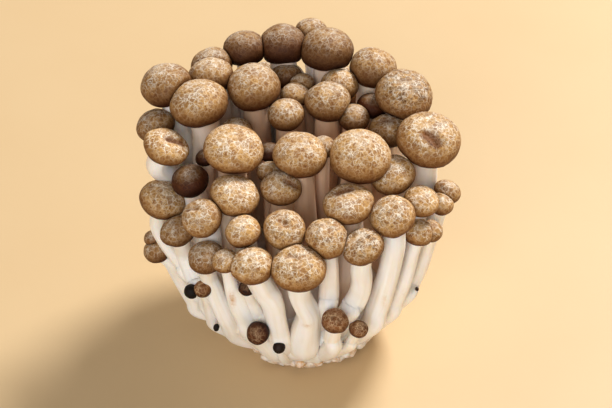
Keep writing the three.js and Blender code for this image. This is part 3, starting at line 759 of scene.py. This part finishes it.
def surface_point(cap, points, u, v):
    """The point of a cap, seen from its middle, that shows at a pixel."""
    eye, along = sight(u, v)
    along = along / np.linalg.norm(along)
    from_eye = points + cap.at - eye
    depth = from_eye @ along
    away = np.linalg.norm(from_eye - depth[:, None] * along, axis=1)
    return points[np.argmin(away + NEAR_SIDE * (depth - depth.min()))]


# Stems and foot


def swell_at(t):
    """How much stouter a stem is part of the way up, t, than just under its cap."""
    return 1 + (STEM_SWELL - 1) * np.sin(math.pi / 2 * np.minimum(SWELL_PACE * (1 - t), 1))


def stem_shell(stem):
    """A stem's skin along its route, slightly lobed, with its fibres, stains, and how far inside the bundle
    it is for painted shading, as marks.
    """
    cap = stem.cap
    seed = cap.index + STEM_SEED
    t = np.linspace(0, 1, STEM_ROWS)
    middle, forward, radius = stem.route(t)
    middle[-1] = stem.top + cap.axis * STEM_SINK * cap.size
    aside = np.array([-cap.at[1], cap.at[0], 0])
    aside = aside / np.linalg.norm(aside)
    across = np.cross(aside, forward)
    across /= np.linalg.norm(across, axis=1)[:, None]
    side = np.cross(across, forward)
    length = np.concatenate([[0], np.cumsum(np.linalg.norm(np.diff(middle, axis=0), axis=1))])
    angle = np.arange(STEM_SIDES) / STEM_SIDES * 2 * math.pi
    radius = radius * stem.slender
    around, up = np.meshgrid(angle, length)
    lobe = np.zeros(around.shape)
    for number, (share, count, length_up) in enumerate(STEM_LOBES):
        lobe += share * np.sin(count * around + PHASE * draw(seed, number + 1) + up / length_up)
    spoke = radius[:, None] * (1 + lobe)
    points = middle[:, None, :] + across[:, None, :] * (np.cos(around) * spoke)[:, :, None]
    points = points + side[:, None, :] * (np.sin(around) * spoke)[:, :, None]
    points = points.reshape(-1, 3)
    points = np.vstack([middle[:1], points, middle[-1:]])
    points[:, 2] = np.maximum(points[:, 2], STEM_FLOOR)
    lift = np.concatenate([[0], up.reshape(-1), [length[-1]]])
    turned = np.concatenate([[0], around.reshape(-1), [0]])
    grain = np.stack([
        stem.radius * np.cos(turned), stem.radius * np.sin(turned),
        FIBRE_STRETCH * lift + FIBRE_SHIFT * draw(seed, 9),
    ], axis=1)
    stain = BASE_STAIN * np.exp(-(points[:, 2] / BASE_STAIN_HEIGHT) ** 2)
    for u, v, wide, tall, strength in STAINS:
        spot = on_bundle(u, v, 0)
        away = points - spot
        flat = np.hypot(away[:, 0], away[:, 1]) / wide
        stain += strength * np.exp(-flat ** 2 - (away[:, 2] / tall) ** 2)
    return {
        "points": points, "rows": STEM_ROWS, "sides": STEM_SIDES, "grain": grain, "stain": stain,
        "inner_shading": depth_inside(points),
    }


def depth_inside(points):
    """From 0 at the outside of the bundle to 1 far inside it, for painted shading on the flesh."""
    below = bundle_radius(points[:, 2]) - np.hypot(points[:, 0], points[:, 1])
    return np.clip((below - INNER_SHADING_FROM) / INNER_SHADING_OVER, 0, 1)


def foot_shell():
    """The grown-together foot: its flat cut, the bowl above it, and a dome hidden among the stems."""
    low = np.linspace(0, FOOT_LOW, FOOT_LOW_ROWS)[1:]
    heights = np.concatenate([low, np.linspace(FOOT_NEXT, FOOT_SHOULDER, FOOT_ROWS)])
    profile = [(FOOT_RADIUS - FOOT_SHY - short, z) for short, z in FOOT_EDGE]
    for z in heights:
        profile.append((float(bundle_radius(z)) - FOOT_SHY - z * FOOT_TAPER, z))
    profile.append((float(bundle_radius(FOOT_TOP)) * FOOT_TOP_SHARE, FOOT_TOP))
    profile.append((FOOT_DOME[0], FOOT_TOP + FOOT_DOME[1]))
    sides = FOOT_SIDES
    angle = np.arange(sides) / sides * 2 * math.pi
    rows = []
    for out, z in reversed(profile):
        rows.append(np.stack([out * np.cos(angle), out * np.sin(angle), np.full(sides, z)], axis=1))
    points = np.vstack([[[0, 0, FOOT_TOP + FOOT_DOME_TOP]], *rows, [[0, 0, 0]]])
    turn = np.arctan2(points[:, 1], points[:, 0])
    share, count, length_up = FOOT_LOBE
    lump = 1 + share * np.sin(count * turn + points[:, 2] / length_up)
    free = np.clip(points[:, 2] / FOOT_FREE, 0, 1)
    lump += free * sum(
        height * waves(points, width, FOOT_SEED + k) for k, (height, width) in enumerate(FOOT_LUMPS)
    )
    points[:, 0] *= lump
    points[:, 1] *= lump
    return {
        "points": points, "rows": len(profile), "sides": sides, "grain": points * [1, 1, 0.4],
        "stain": FOOT_STAIN * np.exp(-(points[:, 2] / FOOT_STAIN_HEIGHT) ** 2),
        "inner_shading": FOOT_INNER_SHADING * depth_inside(points),
    }


def nodule_shell(number):
    """A small uneven ball, set in the foot's outside just above the cut."""
    seed = NODULE_SEED + number
    angle = TURN * draw(seed, 1)
    z = NODULE_LOW + NODULE_SPAN * draw(seed, 2) ** NODULE_LOW_POWER
    size = NODULE_LEAST + NODULE_MORE * draw(seed, 3)
    out = float(bundle_radius(z)) - NODULE_SUNK_SHARE * size - NODULE_SUNK
    rows = NODULE_ROWS
    sides = NODULE_SIDES
    turn = np.linspace(0, math.pi, rows + 2)[1:-1]
    around = np.arange(sides) / sides * 2 * math.pi
    ball = [[[0, 0, 1]]]
    for t in turn:
        circle = [np.sin(t) * np.cos(around), np.sin(t) * np.sin(around), np.full(sides, math.cos(t))]
        ball.append(np.stack(circle, axis=1))
    ball.append([[0, 0, -1]])
    points = np.vstack(ball) * [1.0, NODULE_WIDE, NODULE_TALL + NODULE_TALLER * draw(seed, 4)]
    points *= (size * (1 + NODULE_LUMP * waves(points, NODULE_LUMP_WIDTH, seed)))[:, None]
    turned = points.copy()
    turned[:, 0] = points[:, 0] * math.cos(angle) - points[:, 1] * math.sin(angle) + out * math.cos(angle)
    turned[:, 1] = points[:, 0] * math.sin(angle) + points[:, 1] * math.cos(angle) + out * math.sin(angle)
    turned[:, 2] = np.maximum(points[:, 2] + z, NODULE_FLOOR)
    count = len(points)
    return {
        "points": turned, "rows": rows, "sides": sides, "grain": turned, "inner_shading": np.zeros(count),
        "stain": np.full(count, NODULE_STAIN + NODULE_STAIN_MORE * draw(seed, 5) ** 2),
    }


# Materials


def linear(red, green, blue):
    """A colour given as on a screen, 0 to 255, as the shader's own numbers."""
    tones = []
    for tone in (red / 255, green / 255, blue / 255):
        tones.append(tone / 12.92 if tone <= 0.04045 else ((tone + 0.055) / 1.055) ** 2.4)
    return (*tones, 1)


# Sizes of the skin's pattern in millimetres, and how far its lines are bent and frayed
NET_CELL = 1.7
FINE_CELL = 1.05
FRECKLE_CELL = 0.85
BENT = 1.7
FRAYED = 0.5
NOISE_MIDDLE = (0.5, 0.5, 0.5)

# Colours of the skin: freckles, the net low down, gills and rim, then colours multiplied in: darker skin
# together with painted shading, painted shading on the lower sides of the caps, and painted shading in
# dents
FRECKLE = linear(112, 62, 24)
LOW_NET = linear(206, 168, 116)
GILLS = linear(222, 202, 170)
RIM = linear(176, 130, 80)
DARKER_SKIN_AND_SHADING = linear(106, 66, 36)
PAINTED_UNDER_SHADING = linear(122, 82, 48)
PAINTED_DENT_SHADING = linear(150, 108, 72)

# Colours of the flesh, with a warm brown for painted shading far inside the bundle, and of the floor
FLESH_WHITE = linear(254, 253, 251)
FLESH_CREAM = linear(247, 239, 226)
FLESH_DULL = linear(246, 236, 219)
FLESH_INNER_SHADING = linear(208, 150, 88)
FLESH_STAIN = linear(201, 152, 88)
FLOOR_PALE = linear(212, 185, 143)
FLOOR_DARKER = linear(207, 178, 134)


class Paint:
    """A material being built: each method adds one node and gives back its output."""

    def __init__(self, name):
        self.material = bpy.data.materials.new(name)
        self.material.use_nodes = True
        self.tree = self.material.node_tree
        self.shader = next(node for node in self.tree.nodes if node.type == "BSDF_PRINCIPLED")

    def put(self, socket, value):
        if isinstance(value, bpy.types.NodeSocket):
            self.tree.links.new(value, socket)
        else:
            socket.default_value = value

    def node(self, kind, **settings):
        made = self.tree.nodes.new(kind)
        for name, value in settings.items():
            setattr(made, name, value)
        return made

    def mark(self, name, output="Fac"):
        return self.node("ShaderNodeAttribute", attribute_name=name).outputs[output]

    def place(self):
        """Where a point is, in millimetres."""
        where = self.node("ShaderNodeTexCoord").outputs["Object"]
        scaled = self.node("ShaderNodeVectorMath", operation="SCALE")
        self.put(scaled.inputs[0], where)
        scaled.inputs["Scale"].default_value = 1 / MM
        return scaled.outputs[0]

    def vector(self, operation, one, two):
        made = self.node("ShaderNodeVectorMath", operation=operation)
        self.put(made.inputs[0], one)
        self.put(made.inputs[3] if operation == "SCALE" else made.inputs[1], two)
        return made.outputs[0]

    def math(self, operation, one, two=0.0, clamp=False):
        made = self.node("ShaderNodeMath", operation=operation, use_clamp=clamp)
        self.put(made.inputs[0], one)
        self.put(made.inputs[1], two)
        return made.outputs[0]

    def step(self, value, low, high, start=0.0, end=1.0):
        """Eases from start to end as value goes from low to high."""
        made = self.node("ShaderNodeMapRange", interpolation_type="SMOOTHSTEP")
        self.put(made.inputs["Value"], value)
        self.put(made.inputs["From Min"], low)
        self.put(made.inputs["From Max"], high)
        self.put(made.inputs["To Min"], start)
        self.put(made.inputs["To Max"], end)
        return made.outputs["Result"]

    def noise(self, where, size, detail=2.0, roughness=0.5, output="Fac"):
        made = self.node("ShaderNodeTexNoise")
        self.put(made.inputs["Vector"], where)
        made.inputs["Scale"].default_value = 1 / size
        made.inputs["Detail"].default_value = detail
        made.inputs["Roughness"].default_value = roughness
        return made.outputs[output]

    def cells(self, where, size, feature, output):
        made = self.node("ShaderNodeTexVoronoi", feature=feature)
        self.put(made.inputs["Vector"], where)
        made.inputs["Scale"].default_value = 1 / size
        return made.outputs[output]

    def blend(self, share, one, two, way="MIX"):
        made = self.node("ShaderNodeMix", data_type="RGBA", blend_type=way)
        self.put(made.inputs[0], share)
        self.put(made.inputs[6], one)
        self.put(made.inputs[7], two)
        return made.outputs[2]

    def bump(self, height, distance, under=None):
        made = self.node("ShaderNodeBump")
        made.inputs["Distance"].default_value = distance
        self.put(made.inputs["Height"], height)
        if under is not None:
            self.put(made.inputs["Normal"], under)
        return made.outputs["Normal"]

    def finish(self, colour, normal, **numbers):
        self.put(self.shader.inputs["Base Color"], colour)
        self.put(self.shader.inputs["Normal"], normal)
        for name, value in numbers.items():
            self.put(self.shader.inputs[name.replace("_", " ").title()], value)
        return self.material


def skin_material(name, tan, brown, net, wear_and_shadow_brown):
    """A cap's skin: tan cells with brown middles and a pale net, darker low down, partly as browner skin
    and partly as painted shading; paler on the top, partly as a paler net and partly as painted highlight;
    pale gills.
    """
    paint = Paint(name)
    place = paint.place()
    swirl = paint.noise(place, size=1.6, detail=2, roughness=0.55, output="Color")
    swirl = paint.vector("SUBTRACT", swirl, NOISE_MIDDLE)
    fray = paint.noise(place, size=0.42, detail=2, roughness=0.6, output="Color")
    fray = paint.vector("SUBTRACT", fray, NOISE_MIDDLE)
    warped = paint.vector("ADD", place, paint.vector("SCALE", swirl, BENT))
    warped = paint.vector("ADD", warped, paint.vector("SCALE", fray, FRAYED))
    edge = paint.cells(warped, NET_CELL, "DISTANCE_TO_EDGE", "Distance")
    fine_edge = paint.cells(warped, FINE_CELL, "DISTANCE_TO_EDGE", "Distance")
    own = paint.cells(warped, NET_CELL, "F1", "Color")
    fine_own = paint.cells(warped, FINE_CELL, "F1", "Color")
    rise = paint.mark("rise")
    # How much darker the cap is: partly its own colour, partly painted shading
    tone = paint.mark("tone")
    worn = paint.mark("worn")
    crown = paint.step(rise, -0.1, 0.7)
    middle = paint.step(edge, 0.06, 0.3)
    speck = paint.step(paint.noise(place, size=0.6, detail=3, roughness=0.65), 0.4, 0.6, 0.1, 1)
    brownness = paint.math("MULTIPLY", middle, speck)
    brownness = paint.math("MULTIPLY", brownness, paint.step(fine_own, 0.1, 0.8, 0.35, 1.0))
    colour = paint.blend(brownness, tan, brown)
    colour = paint.blend(paint.step(own, 0.4, 0.9, 0, 0.5), colour, brown)
    colour = paint.blend(paint.step(crown, 0.0, 0.8, 0.6, 0.0), colour, brown)
    broad = paint.step(paint.noise(place, size=5, detail=2, roughness=0.5), 0.42, 0.66, 0, 0.35)
    colour = paint.blend(broad, colour, brown)
    dot = paint.step(paint.cells(warped, FRECKLE_CELL, "F1", "Distance"), 0.22, 0.42, 1, 0)
    chosen = paint.step(paint.cells(warped, FRECKLE_CELL, "F1", "Color"), 0.3, 0.7)
    dot = paint.math("MULTIPLY", dot, chosen)
    dotted = paint.math("MULTIPLY_ADD", worn, 0.35)
    dotted.node.inputs[2].default_value = 0.5
    colour = paint.blend(paint.math("MULTIPLY", dot, dotted), colour, FRECKLE)
    worn_spot = paint.step(paint.noise(place, size=2.2, detail=3, roughness=0.6), 0.45, 0.6)
    worn_spot = paint.math("MULTIPLY", worn_spot, paint.math("MULTIPLY", worn, crown))
    colour = paint.blend(paint.math("MULTIPLY", worn_spot, 0.6), colour, wear_and_shadow_brown)
    breadth = paint.step(paint.noise(place, size=1.3, detail=2, roughness=0.6), 0.3, 0.7, 0.035, 0.12)
    net_line = paint.step(edge, paint.math("MULTIPLY", breadth, 0.35), breadth, 1, 0)
    fine_line = paint.step(fine_edge, 0.02, 0.12, 0.9, 0)
    patchy = paint.step(paint.noise(place, size=1.8, detail=2, roughness=0.5), 0.42, 0.6, 0.1, 0.85)
    fine_line = paint.math("MULTIPLY", fine_line, patchy)
    lines = paint.math("MAXIMUM", net_line, fine_line)
    faded = paint.step(paint.noise(place, size=2.8, detail=3, roughness=0.55), 0.38, 0.6, 0.35, 1)
    lines = paint.math("MULTIPLY", lines, faded)
    lines = paint.math("MULTIPLY", lines, paint.step(crown, 0.0, 0.9, 0.4, 0.85), clamp=True)
    shown_net = paint.blend(crown, LOW_NET, net)
    colour = paint.blend(lines, colour, shown_net)
    # Paler on the top: partly a paler net, partly painted highlight where the light falls
    pale = paint.math("MULTIPLY", paint.step(rise, 0.5, 1.0, 0, 0.38), paint.step(faded, 0.35, 1.0))
    colour = paint.blend(pale, colour, net)
    # Painted shading with darker skin: the darkness is multiplied in, stronger on the lower sides than on
    # the top
    low = paint.math("MULTIPLY", tone, paint.step(rise, 0.2, 0.95, 1.0, 0.45), clamp=True)
    colour = paint.blend(low, colour, DARKER_SKIN_AND_SHADING, "MULTIPLY")
    # The darkest caps, which lie in shadow, get painted shadow almost to the darkest brown; on the darkest
    # buds this is their own colour
    colour = paint.blend(paint.step(tone, 0.9, 1.6, 0, 0.95), colour, wear_and_shadow_brown)
    # Painted shading: the lower sides of each cap, turned away from the light, darker towards the rim
    under = paint.step(rise, -0.5, 0.34, 1.0, 0.0)
    colour = paint.blend(under, colour, PAINTED_UNDER_SHADING, "MULTIPLY")
    # Painted shading in the dimples and creases
    dent_shading = paint.step(paint.mark("dent_shading"), 0.1, 0.9, 0, 0.9)
    colour = paint.blend(dent_shading, colour, PAINTED_DENT_SHADING, "MULTIPLY")
    rim = paint.math("MULTIPLY", paint.step(rise, -0.54, -0.47, 1, 0), 0.5)
    colour = paint.blend(rim, colour, RIM)
    colour = paint.blend(paint.mark("gill"), colour, GILLS)
    grit = paint.bump(paint.noise(place, size=0.5, detail=3, roughness=0.6), 0.00006)
    relief = paint.bump(lines, 0.00009, grit)
    paint.shader.inputs["Specular IOR Level"].default_value = 0.22
    roughness = paint.step(paint.noise(place, size=1.6, detail=2, roughness=0.5), 0.3, 0.7, 0.5, 0.68)
    return paint.finish(colour, relief, roughness=roughness)


def flesh_material():
    """The stems' flesh: white to cream, with fine lengthwise fibres, warm brown painted shading far inside
    the bundle, and browner at stains.
    """
    paint = Paint("stem_flesh")
    place = paint.place()
    grain = paint.mark("grain", "Vector")
    fibre = paint.noise(grain, size=0.55, detail=3, roughness=0.6)
    streak = paint.noise(grain, size=2.2, detail=2, roughness=0.5)
    broad = paint.noise(place, size=9, detail=2, roughness=0.5)
    stain = paint.mark("stain")
    colour = paint.blend(paint.step(streak, 0.35, 0.75), FLESH_WHITE, FLESH_CREAM)
    colour = paint.blend(paint.step(broad, 0.45, 0.75, 0, 0.5), colour, FLESH_DULL)
    # Painted shading: warm brown far inside the bundle, where little light reaches
    colour = paint.blend(paint.math("MULTIPLY", paint.mark("inner_shading"), 0.72), colour, FLESH_INNER_SHADING)
    speckle = paint.step(paint.noise(place, size=1.5, detail=3, roughness=0.6), 0.3, 0.7)
    stained = paint.math("MULTIPLY", stain, paint.math("ADD", speckle, 0.35), clamp=True)
    colour = paint.blend(stained, colour, FLESH_STAIN)
    fine = paint.bump(fibre, 0.00007)
    coarse = paint.bump(streak, 0.0003, fine)
    paint.shader.inputs["Subsurface Weight"].default_value = 0.25
    paint.shader.inputs["Subsurface Radius"].default_value = (1.0, 0.62, 0.4)
    paint.shader.inputs["Subsurface Scale"].default_value = 0.002
    roughness = paint.step(fibre, 0.3, 0.7, 0.36, 0.5)
    return paint.finish(colour, coarse, roughness=roughness)


cap_skin = skin_material(
    "cap_skin", tan=linear(207, 163, 99), brown=linear(130, 80, 34), net=linear(253, 243, 225),
    wear_and_shadow_brown=linear(50, 22, 6),
)
bud_skin = skin_material(
    "bud_skin", tan=linear(152, 98, 56), brown=linear(96, 54, 28), net=linear(232, 200, 158),
    wear_and_shadow_brown=linear(20, 11, 6),
)
stem_flesh = flesh_material()

# The pieces

CAP_MARKS = ["rise", "gill", "tone", "worn", "dent_shading"]
for node in dict.fromkeys(cap.node for cap in caps):
    members = [cap for cap in caps if cap.node == node]
    shells = [cap_shell(cap, [other for other in caps if other is not cap]) for cap in members]
    is_bud = node.startswith("bud")
    build_piece(
        f"{node}_skin", shells, CAP_MARKS, bud_skin if is_bud else cap_skin, [node],
    )

FLESH_MARKS = ["stain", "grain", "inner_shading"]
FRONT_EDGE = -5
groups = {"stems_front": [], "stems_side": [], "stems_rear": []}
for stem in stems:
    if stem.cap.rear:
        groups["stems_rear"].append(stem)
    elif stem.cap.at[1] < FRONT_EDGE:
        groups["stems_front"].append(stem)
    else:
        groups["stems_side"].append(stem)
for name, members in groups.items():
    shells = [stem_shell(stem) for stem in members]
    build_piece(name, shells, FLESH_MARKS, stem_flesh, ["stem_cluster"])
foot_shells = [foot_shell()] + [nodule_shell(number) for number in range(NODULES)]
build_piece("foot", foot_shells, FLESH_MARKS, stem_flesh, ["stem_cluster"])

# Two black specks, left on the side of the bundle by buds that dried up
specks = [
    place(Cap("specks", 216.5, 327.5, None, 2.6, out=0.3, lean=(-70, 20), dark_and_shaded=1.7), SPECK_INDEX, None),
    place(Cap("specks", 417, 289, None, 1.5, out=0.3, lean=(50, 20), dark_and_shaded=1.3), SPECK_INDEX + 1, None),
]
build_piece("specks", [cap_shell(speck, []) for speck in specks], CAP_MARKS, bud_skin, [])


# Floor, light and camera

FLOOR_SIZE = 3.0
FLOOR_HEIGHT = -0.0001
SENSOR_WIDTH = 36


def floor_piece():
    """A plain pale floor, just under the foot."""
    mesh = bpy.data.meshes.new("floor")
    half = FLOOR_SIZE / 2
    corners = [(x * half, y * half, FLOOR_HEIGHT) for x, y in ((-1, -1), (1, -1), (1, 1), (-1, 1))]
    mesh.from_pydata(corners, [], [(0, 1, 2, 3)])
    paint = Paint("floor")
    place = paint.place()
    colour = paint.blend(paint.noise(place, size=60, detail=3, roughness=0.5), FLOOR_PALE, FLOOR_DARKER)
    relief = paint.bump(paint.noise(place, size=1.5, detail=2, roughness=0.5), 0.00002)
    mesh.materials.append(paint.finish(colour, relief, roughness=0.55))
    floor = bpy.data.objects.new("floor", mesh)
    bpy.context.scene.collection.objects.link(floor)


def area_light(name, where, size, power, colour):
    """A round lamp, turned towards the middle of the cluster."""
    lamp = bpy.data.lights.new(name, "AREA")
    lamp.shape = "DISK"
    lamp.size = size
    lamp.energy = power
    lamp.color = colour
    light = bpy.data.objects.new(name, lamp)
    light.location = where
    aim = Vector((0, 0, 0.05)) - Vector(where)
    light.rotation_euler = aim.to_track_quat("-Z", "Y").to_euler()
    bpy.context.scene.collection.objects.link(light)


def camera():
    """The photograph's viewpoint."""
    lens = bpy.data.cameras.new("camera")
    lens.sensor_fit = "HORIZONTAL"
    lens.sensor_width = SENSOR_WIDTH
    lens.lens = SENSOR_WIDTH * VIEW_FOCAL / VIEW_WIDTH
    lens.clip_start = 0.01
    seat = bpy.data.objects.new("camera", lens)
    forward = np.array([0, math.cos(VIEW_ELEVATION), -math.sin(VIEW_ELEVATION)])
    seat.location = Vector((VIEW_TARGET + CENTRE_SHIFT - VIEW_DISTANCE * forward) * MM)
    seat.rotation_euler = (math.pi / 2 - VIEW_ELEVATION, 0, 0)
    bpy.context.scene.collection.objects.link(seat)
    bpy.context.scene.camera = seat


floor_piece()
area_light("key", where=(0.70, 0.78, 1.2), size=0.5, power=31, colour=(1.0, 0.97, 0.935))
area_light("fill", where=(-0.30, -1.30, 0.75), size=1.2, power=13, colour=(0.96, 0.98, 1.0))
world = bpy.data.worlds.new("world")
world.use_nodes = True
world.node_tree.nodes["Background"].inputs["Color"].default_value = (1.0, 0.88, 0.77, 1)
world.node_tree.nodes["Background"].inputs["Strength"].default_value = 0.3
bpy.context.scene.world = world
bpy.context.scene.view_settings.view_transform = "Standard"
camera()
